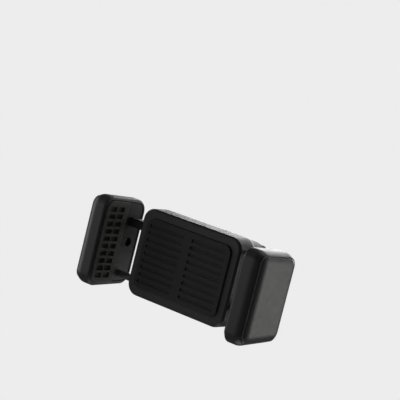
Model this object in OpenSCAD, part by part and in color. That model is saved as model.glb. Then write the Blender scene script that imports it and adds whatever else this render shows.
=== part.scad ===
// Air-vent phone holder: two coupled spring jaws grip the phone's sides, a ball joint aims
// the cradle, and a clip with four rubber-covered prongs holds a vent blade.
// +X is to the right, +Y points away from the user into the vent, and +Z is up.
// The origin is on the clip's axis, where the blade's edge rests between the prongs.

/* [Grip] */
// Clear width between the two grip pads at rest
grip_gap = 67; // [65:0.2:69]
// Travel of each jaw outwards from rest
jaw_open_travel = 10.5; // [8:0.5:11]
// Travel of each jaw inwards from rest
jaw_close_travel = 8; // [6:0.5:8]
// How far the jaws reach in front of the phone's back
jaw_reach = 11.9; // [10:0.1:14]

/* [Jaws] */
// Height of a jaw at its front face
jaw_height = 37.2; // [36.6:0.2:40]
// Height of a jaw at its back, a little less than at the front
jaw_back_height = 35.9; // [35.6:0.1:36.6]
// Depth of a jaw from its front face to its back
jaw_depth = 26.4; // [25.6:0.2:28]
// Thickness of a jaw from its rim to its outer face
jaw_thickness = 9; // [8.6:0.2:12]
// Radius of a jaw's outer edges and corners
jaw_edge_r = 5; // [4:0.5:5]
// Wall thickness of the jaw shell
jaw_wall = 1.3; // [1.2:0.1:1.6]
// How far a grip pad stands proud of the jaw's rim
pad_proud = 0.9; // [0.6:0.1:1.2]
// Width of the open groove between the rim and the pad
pad_groove = 0.2; // [0.2:0.1:0.5]
// Spacing of the rows of pockets in a grip pad
pocket_pitch = 3.05; // [2.9:0.05:3.1]
// Height of each pocket
pocket_high = 2.1; // [1.6:0.1:2.2]
// Length of each pocket, front to back
pocket_long = 3.9; // [3:0.1:3.9]

/* [Cradle] */
// Width of the housing between the jaws
housing_width = 49.2; // [48.8:0.1:49.4]
// Height of the housing
housing_height = 36; // [35.6:0.2:36.6]
// Radius of the housing's outer edges
housing_edge_r = 5; // [4:0.5:5]
// Wall thickness of the housing
housing_wall = 2; // [1.8:0.1:2]

/* [Rack and pinion] */
// Gear module of the pinion and both racks
gear_module = 1; // [1:1:1]
// Number of teeth on the pinion
pinion_teeth = 12; // [12:1:12]
// Thickness of the pinion and of both rack bars
gear_face = 4; // [3:0.5:4]

/* [Ball joint] */
// Distance from the clip's blade seat to the ball's centre
ball_distance = 22; // [22:0.5:26]
// Radius of the ball
ball_r = 8; // [7.5:0.1:8]
// Number of grip flutes round the collar nut
nut_flutes = 14; // [8:1:18]

/* [Vent clip] */
// Width of the upright slot, for thick blades
wide_slot = 4.6; // [4.4:0.1:5.2]
// Height of the level slot, for thin blades
narrow_slot = 2.4; // [1.8:0.1:3]
// Length of the prongs behind the blade seat
prong_length = 15.5; // [14:0.5:18]

/* [Hidden] */
$fn = 64;
// Segments of the spheres and cylinders inside a hull
hull_fn = 32;

// Clearances: a running fit, a sliding fit and the gap between faces that turn
fit = 0.05;
slide_gap = 0.15;
turn_gap = 0.1;
// How far pieces of one solid reach into each other, and how far a cut runs past a face
eps = 0.01;
merge = 0.5;
over = 1;

// Depths along Y, from the ball to the front
ball_y = -ball_distance;
liner_wall = 1.85;
liner_r = ball_r + turn_gap + liner_wall;
seat_r = liner_r + turn_gap;
liner_slit = 1.2;
slit_reach = 3;
boss_wall = 2.3;
boss_r = seat_r + boss_wall;
boss_foot = 2.4;
boss_foot_t = 1.3;
housing_back = ball_y - seat_r - 0.4;
jaw_back = housing_back;
jaw_front = jaw_back - jaw_depth;
phone_back = jaw_front + jaw_reach;
mat_proud = 1;
mat_recess = 0.7;
mat_margin = 3.5;
mat_corner_r = 3.4;
cover_front = phone_back + mat_proud;
cover_t = 2;
cover_bevel = 0.8;
lip = 1;
cover_inside = cover_front + cover_t;
cavity_back = housing_back - housing_wall;
arm_y = (cover_inside + cavity_back) / 2;

// Jaw planes along X, given for the left jaw
pad_x = -grip_gap / 2;
rim_x = pad_x - pad_proud;
outer_x = rim_x - jaw_thickness;
frame_recess = 1.6;
frame_t = 2;
frame_x = rim_x - frame_recess;
foot_t = 2;
foot_flange = 1.6;
foot_x = frame_x - frame_t - foot_t;
rim_bevel = 1;
step_sink = 0.3;
pad_overlap = 2.5;
pad_back = phone_back + pad_overlap;
pad_inset = jaw_wall + pad_groove;
pad_border = 1.3;
pocket_depth = 0.9;
pocket_land = 0.85;
pocket_rows = 10;
pocket_columns = 2;

// Rack and pinion, the racks being above and below the pinion; rack_hold is the length of
// rack that still lies past the pinion at the end of either travel
pitch_r = gear_module * pinion_teeth / 2;
tooth_pitch = PI * gear_module;
rack_tip_z = pitch_r - 0.65 * gear_module;
rack_root_z = pitch_r + gear_module;
rack_top_z = rack_root_z + 3.6;
pinion_tip_r = pitch_r + 0.8 * gear_module;
pinion_root_r = pitch_r - 0.95 * gear_module;
backlash = 0.1;
pressure_angle = 20;
rack_hold = 3;
bar_end = jaw_open_travel + rack_hold;
rack_first = -ceil((jaw_close_travel + rack_hold) / tooth_pitch);
rack_last = floor((bar_end - 1) / tooth_pitch - 0.5);
axle_r = 2;
post_shelf_r = 3.6;
pinion_head_r = 3.4;
web_hole_r = 0.7;
web_hole_ring = 3.7;

// Guide rods and the springs round them
rod_r = 1.5;
rod_z = -13.4;
rod_end = bar_end - 1.4;
rod_tail = 0.4;
rod_clip_t = 1.4;
rod_clip_r = 2.3;
rib_x = -14;
rib_t = 2;
spring_r = 1.95;
wire_r = 0.28;
spring_turns = 11;
spring_steps = 12;
spring_sides = 6;
rod_boss_r = 2.6;

// Grooves across the front mat
mat_pitch = 2.85;
mat_rows = 9;
mat_groove = 1.2;
mat_groove_t = 0.6;
mat_groove_r = 0.55;
mat_edge = 1.6;
mat_middle = 2;

// Screws
screw_r = 0.9;
screw_head_r = 1.7;
screw_head_t = 1.1;
head_sink = 0.2;
screw_boss_r = 2.4;
pilot_floor = 0.6;
jaw_screw_length = 3.6;
clip_screw_length = 4;
retainer_head_r = 2.3;
retainer_length = 5.7;
retainer_spare = 0.4;
jaw_screw_y = jaw_back - 6.2;
jaw_screw_z = 0;
jaw_screw_front_y = jaw_front + 8;
cover_screw_x = 18.6;
cover_boss_r = 2.9;
cover_post = 4;
cover_screw_seat = housing_back - screw_head_t - head_sink;

// Ball joint and clip
neck_r = 3;
flange_r = 5.4;
flange_t = 1.3;
flange_flare = 1.8;
spindle_r = 4;
hub_r = 12;
hub_t = 7;
hub_round = 2.6;
edge_break = 0.5;
base_t = 2;
hub_front = -base_t - hub_t;
pocket_r = 7;
pocket_t = 3.2;
washer_r = 6;
washer_t = 0.9;
washer_play = 0.2;
stud_end = -base_t - pocket_t + washer_play;
nut_r = 15.5;
nut_round = 0.6;
nut_taper = 2.6;
flute_r = 1.6;
flute_depth = 0.9;
flute_start = 1.2;
nut_front = housing_back + 1.6;
nut_lip_angle = 52;
nut_back = ball_y + seat_r * cos(nut_lip_angle);
prong_w = 6.4;
prong_h = 7.2;
prong_corner_r = 1.6;
core_w = 3.2;
core_h = 4;
core_corner_r = 0.8;
core_length = prong_length - 2;
sleeve_tip = 1.4;
sleeve_tip_r = 1;
clip_screw_z = 9;

// --- Helpers -----------------------------------------------------------------------------

// Extrude a profile drawn in X and Z from y0 to y1
module plate_y(y0, y1) {
    translate([0, y1, 0]) rotate([90, 0, 0]) linear_extrude(y1 - y0) children();
}

// Extrude a profile drawn in Y and Z from x0 to x1
module plate_x(x0, x1) {
    translate([x0, 0, 0]) rotate([90, 0, 90]) linear_extrude(x1 - x0) children();
}

// Round bar along Y
module rod_y(y0, y1, r) {
    translate([0, y0, 0]) rotate([-90, 0, 0]) cylinder(h = y1 - y0, r = r);
}

// Round bar along X
module rod_x(x0, x1, r) {
    translate([x0, 0, 0]) rotate([0, 90, 0]) cylinder(h = x1 - x0, r = r);
}

// Body of revolution about Y from a profile of [radius, Y] points
module turned(profile) {
    rotate([-90, 0, 0]) rotate_extrude() polygon(profile);
}

// Rectangle with true round corners, centred
module rounded_rect(w, h, r) {
    square([w - 2 * r, h], center = true);
    square([w, h - 2 * r], center = true);
    for (x = [-1, 1], y = [-1, 1]) {
        translate([x * (w / 2 - r), y * (h / 2 - r)]) circle(r);
    }
}

// Points of an arc round centre c
function arc(c, r, a0, a1, n = 8) =
    [for (i = [0 : n]) c + r * [cos(a0 + (a1 - a0) * i / n), sin(a0 + (a1 - a0) * i / n)]];

// The four corner centres of a jaw seen from the side, front to back
function jaw_corners(inset, r) = [
    [jaw_back - inset - r, jaw_back_height / 2 - inset - r],
    [jaw_front + inset + r, jaw_height / 2 - inset - r],
    [jaw_front + inset + r, -jaw_height / 2 + inset + r],
    [jaw_back - inset - r, -jaw_back_height / 2 + inset + r]
];

// Side outline of a jaw, drawn in Y and Z and moved inwards by inset
module jaw_outline(inset, r) {
    c = jaw_corners(inset, r);
    polygon([for (i = [0 : 3]) each arc(c[i], r, i * 90, i * 90 + 90)]);
}

// Everything on the right is the left side turned half a turn about Y
module right_side() {
    rotate([0, 180, 0]) children();
}

// Post along Z for the corner of a hull: a half ball below and a small bevel on top
module post(r, length, bevel = 0) {
    rotate_extrude($fn = hull_fn) polygon([
        each arc([0, r], r, -90, 0), [r, length - bevel], [r - bevel, length], [0, length]
    ]);
}

// Pan-head screw along X: its head's underside is at x and its shank points to -X
module screw_x(x, length) {
    rod_x(x, x + screw_head_t, screw_head_r);
    rod_x(x - length, x, screw_r);
}

// --- Vent clip ---------------------------------------------------------------------------

module clip_hub() {
    color("#2b2c2e") difference() {
        turned([
            [0, hub_front], each arc([hub_r - hub_round, hub_front + hub_round], hub_round, -90, 0),
            [hub_r, -base_t - edge_break], [hub_r - edge_break, -base_t], [0, -base_t]
        ]);
        rod_y(hub_front - eps, 0, spindle_r + fit);
        rod_y(-base_t - pocket_t, 0, pocket_r);
        each_clip_screw() rod_y(-base_t - clip_screw_length - merge, 0, screw_r);
    }
}

// Places its children on the axis of each of the two clip screws
module each_clip_screw() {
    for (side = [-1, 1]) translate([0, 0, side * clip_screw_z]) children();
}

// Places its children on the axis of each of the four prongs
module each_prong() {
    for (x = [-1, 1], z = [-1, 1]) {
        translate([x * (wide_slot + prong_w) / 2, 0, z * (narrow_slot + prong_h) / 2]) children();
    }
}

module prong_core() {
    plate_y(-eps, core_length) rounded_rect(core_w, core_h, core_corner_r);
}

module prong_frame() {
    color("#3a3b3d") {
        difference() {
            rod_y(-base_t, 0, hub_r - edge_break);
            each_clip_screw() {
                rod_y(-base_t - eps, 0, screw_r);
                rod_y(-screw_head_t, eps, screw_head_r);
            }
        }
        each_prong() prong_core();
    }
}

module prong_sleeves() {
    color("#1b1b1c") each_prong() difference() {
        hull() {
            plate_y(0, prong_length - sleeve_tip) rounded_rect(prong_w, prong_h, prong_corner_r);
            plate_y(0, prong_length) {
                rounded_rect(prong_w - 2 * sleeve_tip, prong_h - 2 * sleeve_tip, sleeve_tip_r);
            }
        }
        prong_core();
    }
}

module clip_screws() {
    color("#8c8e91") each_clip_screw() {
        rod_y(-screw_head_t, -turn_gap, screw_head_r);
        rod_y(-base_t - clip_screw_length, -screw_head_t, screw_r);
    }
}

// --- Ball joint --------------------------------------------------------------------------

module ball_stud() {
    flange_back = hub_front - turn_gap;
    flange_front = flange_back - flange_t;
    color("#55575a") difference() {
        union() {
            translate([0, ball_y, 0]) sphere(ball_r);
            rod_y(ball_y, flange_front, neck_r);
            turned([
                [0, flange_front - flange_flare], [neck_r, flange_front - flange_flare],
                [flange_r, flange_front], [flange_r, flange_back], [0, flange_back]
            ]);
            rod_y(flange_back - eps, stud_end, spindle_r);
        }
        rod_y(stud_end + washer_t - retainer_length - retainer_spare, 0, screw_r);
    }
}

module retainer_washer() {
    color("#a5a7aa") difference() {
        rod_y(stud_end, stud_end + washer_t, washer_r);
        rod_y(stud_end - over, 0, screw_r);
    }
}

module retainer_screw() {
    washer_top = stud_end + washer_t;
    color("#8c8e91") {
        rod_y(washer_top, washer_top + screw_head_t, retainer_head_r);
        rod_y(washer_top - retainer_length, washer_top, screw_r);
    }
}

module socket_liner() {
    liner_back = ball_y + ball_r / 2;
    color("#d8d5cc") difference() {
        translate([0, ball_y, 0]) sphere(liner_r);
        translate([0, ball_y, 0]) sphere(ball_r + turn_gap);
        rod_y(ball_y - 2 * liner_r, ball_y - ball_r, liner_r);
        rod_y(liner_back, liner_back + liner_r, liner_r);
        for (turn = [0, 90]) {
            rotate([0, turn, 0]) translate([-liner_r, ball_y - slit_reach, -liner_slit / 2]) {
                cube([2 * liner_r, liner_r, liner_slit]);
            }
        }
    }
}

module collar_nut() {
    color("#2b2c2e") difference() {
        turned([
            [0, nut_front], [nut_r - nut_round, nut_front], [nut_r, nut_front + nut_round],
            [nut_r, ball_y + 1], [nut_r - nut_taper, nut_back], [0, nut_back]
        ]);
        rod_y(nut_front - eps, ball_y + slide_gap, boss_r + slide_gap);
        translate([0, ball_y, 0]) sphere(seat_r + slide_gap);
        for (i = [0 : nut_flutes - 1]) {
            rotate([0, 360 * i / nut_flutes, 0]) {
                translate([nut_r + flute_r - flute_depth, 0, 0]) {
                    rod_y(nut_front + flute_start, nut_back + eps, flute_r);
                }
            }
        }
    }
}

// --- Cradle ------------------------------------------------------------------------------

// Solid of the housing with round outer edges, moved inwards by inset, open end at y = front
module housing_block(inset, front) {
    half_w = housing_width / 2 - housing_edge_r;
    half_h = housing_height / 2 - housing_edge_r;
    back = housing_back - inset;
    hull() for (x = [-1, 1], z = [-1, 1]) {
        translate([x * half_w, back, z * half_h]) rotate([90, 0, 0]) {
            post(housing_edge_r - inset, back - front);
        }
    }
}

// Cut for one rack bar and one guide rod on their way through the left wall
module left_wall_cuts() {
    wall_x = -housing_width / 2;
    bar_h = rack_top_z - rack_root_z;
    translate([wall_x - over, arm_y - gear_face / 2 - slide_gap, rack_root_z - slide_gap]) {
        cube([housing_wall + 2 * over, gear_face + 2 * slide_gap, bar_h + 2 * slide_gap]);
    }
    translate([0, arm_y, rod_z]) rod_x(wall_x - over, rib_x + rib_t + over, rod_r + fit);
}

// Rib that guides the left rod and is the fixed end of the left spring
module left_rib() {
    top = -rack_top_z - slide_gap;
    bottom = -housing_height / 2 + housing_wall - merge;
    translate([rib_x, cover_inside + slide_gap, bottom]) {
        cube([rib_t, cavity_back - cover_inside, top - bottom]);
    }
}

module rear_housing() {
    color("#232426") difference() {
        union() {
            difference() {
                housing_block(0, cover_inside);
                housing_block(housing_wall, cover_inside - over);
            }
            left_rib();
            right_side() left_rib();
            rod_y(arm_y + gear_face / 2 + slide_gap, cavity_back + eps, post_shelf_r);
            rod_y(arm_y - gear_face / 2 - slide_gap, cavity_back, axle_r);
            for (side = [-1, 1]) {
                translate([side * cover_screw_x, 0, 0]) {
                    rod_y(cover_inside + cover_post, cavity_back + eps, cover_boss_r);
                }
            }
            turned([
                [0, housing_back - merge], [boss_r + boss_foot, housing_back - merge],
                [boss_r + boss_foot, housing_back + head_sink], [boss_r, housing_back + boss_foot_t],
                [boss_r, ball_y], [0, ball_y]
            ]);
        }
        translate([0, ball_y, 0]) sphere(seat_r);
        left_wall_cuts();
        right_side() left_wall_cuts();
        rod_y(arm_y - gear_face, cavity_back + housing_wall / 2, screw_r);
        for (side = [-1, 1]) {
            translate([side * cover_screw_x, 0, 0]) {
                rod_y(cover_inside - over, housing_back + over, screw_r + slide_gap);
                rod_y(cover_screw_seat, housing_back + over, screw_head_r + slide_gap);
            }
        }
    }
}

module front_cover() {
    lip_w = housing_width - 2 * housing_wall - 2 * turn_gap;
    lip_h = housing_height - 2 * housing_wall - 2 * turn_gap;
    lip_r = housing_edge_r - housing_wall;
    color("#2a2b2d") difference() {
        union() {
            hull() {
                plate_y(cover_front + cover_bevel, cover_inside) {
                    rounded_rect(housing_width, housing_height, housing_edge_r, $fn = hull_fn);
                }
                plate_y(cover_front, cover_inside) {
                    offset(delta = -cover_bevel) {
                        rounded_rect(housing_width, housing_height, housing_edge_r, $fn = hull_fn);
                    }
                }
            }
            difference() {
                plate_y(cover_inside, cover_inside + lip) rounded_rect(lip_w, lip_h, lip_r);
                plate_y(cover_inside, cover_inside + 2 * lip) {
                    rounded_rect(lip_w - 2 * lip, lip_h - 2 * lip, lip_r - lip);
                }
                for (side = [-1, 1]) {
                    translate([side * (rib_x + rib_t / 2), cover_inside + lip, 0]) {
                        cube([rib_t + lip, 2 * lip, 2 * housing_height], center = true);
                    }
                }
            }
            for (side = [-1, 1]) {
                translate([side * cover_screw_x, 0, 0]) {
                    rod_y(cover_inside, cover_inside + cover_post, screw_boss_r);
                }
            }
        }
        plate_y(cover_front - over, cover_front + mat_recess) {
            rounded_rect(housing_width - 2 * mat_margin, housing_height - 2 * mat_margin,
                mat_corner_r + turn_gap);
        }
        for (side = [-1, 1]) {
            translate([side * cover_screw_x, 0, 0]) {
                rod_y(cover_inside - pilot_floor, cover_inside + cover_post + over, screw_r);
            }
        }
    }
}

module front_mat() {
    w = housing_width - 2 * (mat_margin + turn_gap);
    h = housing_height - 2 * (mat_margin + turn_gap);
    groove_w = w / 2 - mat_edge - mat_middle;
    color("#1d1d1e") difference() {
        plate_y(phone_back, cover_front + mat_recess) rounded_rect(w, h, mat_corner_r);
        for (row = [0 : mat_rows - 1], side = [-1, 1]) {
            translate([side * (mat_middle + groove_w / 2), 0, (row - (mat_rows - 1) / 2) * mat_pitch]) {
                plate_y(phone_back - over, phone_back + mat_groove_t) {
                    rounded_rect(groove_w, mat_groove, mat_groove_r);
                }
            }
        }
    }
}

module cover_screws() {
    color("#8c8e91") for (side = [-1, 1]) {
        translate([side * cover_screw_x, 0, 0]) {
            rod_y(cover_screw_seat, cover_screw_seat + screw_head_t, screw_head_r);
            rod_y(cover_inside - pilot_floor + head_sink, cover_screw_seat, screw_r);
        }
    }
}

// --- Pinion ------------------------------------------------------------------------------

// Half the angle of a pinion tooth at radius r, from its involute flank
function involute(angle) = tan(angle) - angle * PI / 180;
base_circle_r = pitch_r * cos(pressure_angle);
pitch_half_angle = 90 / pinion_teeth - backlash / pitch_r * 180 / PI;
function half_angle(r) = pitch_half_angle + (involute(pressure_angle)
    - (r > base_circle_r ? involute(acos(base_circle_r / r)) : 0)) * 180 / PI;
flank_radii = [
    pinion_root_r, base_circle_r, pitch_r, (pitch_r + pinion_tip_r) / 2, pinion_tip_r
];

module pinion_gear() {
    flank = [for (r = flank_radii) [r, half_angle(r)]];
    flank_back = [for (i = [len(flank) - 1 : -1 : 0]) flank[i]];
    color("#d9d6cd") translate([0, arm_y, 0]) difference() {
        plate_y(-gear_face / 2, gear_face / 2) polygon([
            for (t = [0 : pinion_teeth - 1]) each [
                for (p = flank) polar(p[0], t * 360 / pinion_teeth - p[1]),
                for (p = flank_back) polar(p[0], t * 360 / pinion_teeth + p[1])
            ]
        ]);
        rod_y(-gear_face, gear_face, axle_r + fit);
        for (i = [0 : 3]) {
            rotate([0, 45 + 90 * i, 0]) translate([web_hole_ring, 0, 0]) {
                rod_y(-gear_face, gear_face, web_hole_r);
            }
        }
    }
}

function polar(r, a) = r * [cos(a), sin(a)];

module pinion_screw() {
    seat = arm_y - gear_face / 2 - slide_gap;
    color("#8c8e91") {
        rod_y(seat - screw_head_t, seat, pinion_head_r);
        rod_y(seat, cavity_back, screw_r);
    }
}

// --- Jaws, drawn on the left -------------------------------------------------------------

// Solid of a jaw moved inwards by inset; its open side ends at x = end
module jaw_block(inset, end) {
    r = jaw_edge_r - inset;
    hull() for (corner = jaw_corners(inset, r)) {
        translate([outer_x + inset, corner[0], corner[1]]) rotate([0, 90, 0]) {
            post(r, end - outer_x - inset, rim_bevel);
        }
    }
}

// Places its children at the two jaw screws
module each_jaw_screw() {
    for (y = [jaw_screw_front_y, jaw_screw_y]) translate([0, y, jaw_screw_z]) children();
}

module jaw_shell() {
    color("#2d2e30") {
        difference() {
            jaw_block(0, rim_x);
            jaw_block(jaw_wall, rim_x + rim_bevel + over);
        }
        each_jaw_screw() difference() {
            rod_x(outer_x + jaw_wall / 2, frame_x - frame_t, screw_boss_r);
            rod_x(outer_x + jaw_wall + pilot_floor, rim_x, screw_r);
        }
    }
}

module jaw_frame() {
    gap = jaw_wall + slide_gap;
    color("#1f2022") difference() {
        union() {
            plate_x(frame_x - frame_t, frame_x) jaw_outline(gap, jaw_edge_r - gap);
            intersection() {
                plate_x(frame_x - eps, rim_x - step_sink) jaw_outline(gap, jaw_edge_r - gap);
                translate([frame_x - over, pad_back + pad_groove, -jaw_height]) {
                    cube([frame_recess + over, jaw_depth, 2 * jaw_height]);
                }
            }
            translate([0, arm_y, rod_z]) rod_x(foot_x, frame_x - frame_t + eps, rod_boss_r);
        }
        translate([foot_x, arm_y - gear_face / 2, rack_root_z]) {
            cube([2 * foot_t + frame_t + frame_recess, gear_face, rack_top_z - rack_root_z]);
        }
        translate([0, arm_y, rod_z]) rod_x(foot_x - over, rim_x + over, rod_r);
        each_jaw_screw() {
            rod_x(foot_x, rim_x + over, screw_r + slide_gap);
            rod_x(frame_x - screw_head_t, rim_x + over, screw_head_r + slide_gap);
        }
    }
}

module grip_pad() {
    front = jaw_front + pad_inset;
    color("#2f2f2b") difference() {
        intersection() {
            plate_x(frame_x, pad_x) jaw_outline(pad_inset, jaw_edge_r - pad_inset);
            translate([frame_x - over, front - over, -jaw_height]) {
                cube([jaw_thickness, pad_back - front + over, 2 * jaw_height]);
            }
        }
        for (row = [0 : pocket_rows - 1], column = [0 : pocket_columns - 1]) {
            translate([
                pad_x - pocket_depth,
                front + pad_border + column * (pocket_long + pocket_land),
                (row - (pocket_rows - 1) / 2) * pocket_pitch - pocket_high / 2
            ]) cube([pocket_depth + over, pocket_long, pocket_high]);
        }
    }
}

// Outline of one rack tooth in X and Z, its tip towards the pinion
function rack_tooth(x) = [
    for (s = [-1, 1], z = s < 0 ? [rack_root_z, rack_tip_z] : [rack_tip_z, rack_root_z])
        [x + s * (tooth_pitch / 4 - backlash + (z - pitch_r) * tan(pressure_angle)), z]
];

module rack_arm() {
    color("#2d2d2f") {
        translate([0, arm_y, 0]) plate_y(-gear_face / 2, gear_face / 2) polygon([
            [foot_x, rack_top_z], [foot_x, rack_root_z],
            for (k = [rack_first : rack_last]) each rack_tooth((k + 0.5) * tooth_pitch),
            [bar_end, rack_root_z], [bar_end, rack_top_z]
        ]);
        translate([foot_x, arm_y - gear_face / 2 - foot_flange, rack_root_z - foot_flange]) {
            cube([
                foot_t, gear_face + 2 * foot_flange, rack_top_z - rack_root_z + 2 * foot_flange
            ]);
        }
    }
}

module guide_rod() {
    color("#c4c6c9") translate([0, arm_y, rod_z]) rod_x(foot_x, rod_end + rod_tail, rod_r);
}

module rod_clip() {
    color("#8c8e91") translate([0, arm_y, rod_z]) difference() {
        rod_x(rod_end - rod_clip_t, rod_end, rod_clip_r);
        rod_x(rod_end - rod_clip_t - over, rod_end + over, rod_r);
    }
}

module jaw_screws() {
    color("#8c8e91") each_jaw_screw() {
        screw_x(frame_x - screw_head_t,
            min(jaw_screw_length, frame_x - outer_x - jaw_wall - screw_head_t - over));
    }
}

// Ring i of the spring's wire: a hexagon round the helix
function spring_ring(i, x0, x1) =
    let (a = 360 * i / spring_steps, t = i / (spring_turns * spring_steps))
    [for (k = [0 : spring_sides - 1])
        let (b = 360 * k / spring_sides, r = spring_r + wire_r * cos(b))
        [x0 + wire_r + (x1 - x0 - 2 * wire_r) * t + wire_r * sin(b), r * cos(a), r * sin(a)]];

module spring() {
    rings = spring_turns * spring_steps;
    x0 = rib_x + rib_t + fit;
    x1 = rod_end - rod_clip_t - fit;
    points = [for (i = [0 : rings]) each spring_ring(i, x0, x1)];
    sides = [
        for (i = [0 : rings - 1], k = [0 : spring_sides - 1])
            let (a = i * spring_sides + k, b = i * spring_sides + (k + 1) % spring_sides)
            [a, b, b + spring_sides, a + spring_sides]
    ];
    start_cap = [[for (k = [spring_sides - 1 : -1 : 0]) k]];
    end_cap = [[for (k = [0 : spring_sides - 1]) rings * spring_sides + k]];
    color("#c4c6c9") translate([0, arm_y, rod_z]) {
        polyhedron(points, concat(sides, start_cap, end_cap));
    }
}

clip_hub();
prong_frame();
prong_sleeves();
clip_screws();
ball_stud();
retainer_washer();
retainer_screw();
socket_liner();
rear_housing();
front_cover();
front_mat();
cover_screws();
collar_nut();
pinion_gear();
pinion_screw();
jaw_shell();  // left_jaw_shell
jaw_frame();  // left_jaw_frame
grip_pad();  // left_grip_pad
rack_arm();  // left_rack_arm
guide_rod();  // left_guide_rod
rod_clip();  // left_rod_clip
jaw_screws();  // left_jaw_screws
spring();  // left_spring
right_side() jaw_shell();  // right_jaw_shell
right_side() jaw_frame();  // right_jaw_frame
right_side() grip_pad();  // right_grip_pad
right_side() rack_arm();  // right_rack_arm
right_side() guide_rod();  // right_guide_rod
right_side() rod_clip();  // right_rod_clip
right_side() jaw_screws();  // right_jaw_screws
right_side() spring();  // right_spring
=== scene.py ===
"""Air-vent phone holder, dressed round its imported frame.

Two coupled spring jaws grip a phone's sides, a ribbed mat takes its back, a ball joint with a
fluted collar nut aims the cradle, and a clip with four ribbed rubber prongs holds a vent blade.
+X is to the right across the jaws, +Y points into the vent and +Z is up. Meshes are shaped in
millimetres and brought to metres when they are placed.
"""

import logging
import math
from collections.abc import Callable, Iterable, Sequence
from dataclasses import dataclass, field
from enum import Enum, IntEnum

import bmesh
import bpy
from bmesh.types import BMEdge, BMFace, BMVert
from mathutils import Matrix, Vector


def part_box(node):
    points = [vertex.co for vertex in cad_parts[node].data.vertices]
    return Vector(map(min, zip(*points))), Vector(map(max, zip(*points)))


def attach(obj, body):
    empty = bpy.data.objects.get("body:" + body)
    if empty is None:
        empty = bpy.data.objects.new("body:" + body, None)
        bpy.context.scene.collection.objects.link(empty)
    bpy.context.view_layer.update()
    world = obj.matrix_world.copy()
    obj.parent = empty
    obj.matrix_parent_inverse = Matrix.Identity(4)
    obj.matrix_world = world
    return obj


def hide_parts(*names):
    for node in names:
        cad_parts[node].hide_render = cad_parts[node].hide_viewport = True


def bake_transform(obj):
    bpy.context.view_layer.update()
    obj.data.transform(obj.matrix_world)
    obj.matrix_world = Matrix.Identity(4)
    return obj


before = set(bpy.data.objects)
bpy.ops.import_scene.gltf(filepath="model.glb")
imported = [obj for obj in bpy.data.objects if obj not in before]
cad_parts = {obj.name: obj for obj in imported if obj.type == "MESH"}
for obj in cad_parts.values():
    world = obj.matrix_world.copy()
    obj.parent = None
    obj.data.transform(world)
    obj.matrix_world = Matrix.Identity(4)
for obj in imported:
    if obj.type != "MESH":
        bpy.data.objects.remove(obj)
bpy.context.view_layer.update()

log = logging.getLogger("phone_holder")
MM = 0.001
TOUCH = 0.01
Colour = tuple[float, float, float]


class Side(Enum):
    """The two sides of the holder, named as nodes and pieces are."""

    LEFT = "left"
    RIGHT = "right"

    def node(self, part: str) -> str:
        """Name of this side's node or piece for a part."""
        return f"{self.value}_{part}"

    @property
    def turn(self) -> Matrix:
        """Half turn about Y that carries a left-hand shape to this side."""
        return Matrix.Rotation(math.pi if self is Side.RIGHT else 0.0, 4, "Y")


class Axis(IntEnum):
    """The three axes, numbered as coordinates are."""

    X = 0
    Y = 1
    Z = 2


class Texture(Enum):
    """Kinds of surface texture that the finishes use."""

    MOULDED = "fine spark-eroded grain of moulded plastic"
    RUBBER = "soft matt grain with lint"
    BRUSHED = "fine turning or drawing marks"
    COATED = "orange peel of a sprayed coat"


# --- Shaders -----------------------------------------------------------------------------


class Signal:
    """A varying number in a shader, so that node maths reads as plain arithmetic."""

    def __init__(self, shader: "Shader", socket: bpy.types.NodeSocket) -> None:
        """Wraps an output socket of the given shader."""
        self.shader = shader
        self.socket = socket

    def _math(self, operation: str, *values: object) -> "Signal":
        """Adds one Math node.

        Args:
            operation: the Math node's operation.
            values: its inputs in order, signals or numbers.

        Returns:
            The node's value as a new signal.
        """
        inputs = {i: v for i, v in enumerate(values)}
        made = self.shader.node("ShaderNodeMath", {"operation": operation}, inputs)
        return Signal(self.shader, made.outputs[0])

    def __add__(self, other: object) -> "Signal":
        """Sum."""
        return self._math("ADD", self, other)

    __radd__ = __add__

    def __sub__(self, other: object) -> "Signal":
        """Difference."""
        return self._math("SUBTRACT", self, other)

    def __rsub__(self, other: object) -> "Signal":
        """Difference with the signal on the right."""
        return self._math("SUBTRACT", other, self)

    def __mul__(self, other: object) -> "Signal":
        """Product."""
        return self._math("MULTIPLY", self, other)

    __rmul__ = __mul__

    def __pow__(self, other: object) -> "Signal":
        """Power."""
        return self._math("POWER", self, other)

    def clipped(self) -> "Signal":
        """The same value kept between 0 and 1."""
        return self._math("MINIMUM", self._math("MAXIMUM", self, 0.0), 1.0)

    def stepped(self, low: float, high: float) -> "Signal":
        """Smooth step.

        Args:
            low: value that becomes 0.
            high: value that becomes 1.

        Returns:
            A signal from 0 to 1.
        """
        ends = {"Value": self, "From Min": low, "From Max": high}
        made = self.shader.node("ShaderNodeMapRange", {"interpolation_type": "SMOOTHSTEP"}, ends)
        return Signal(self.shader, made.outputs["Result"])


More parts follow.
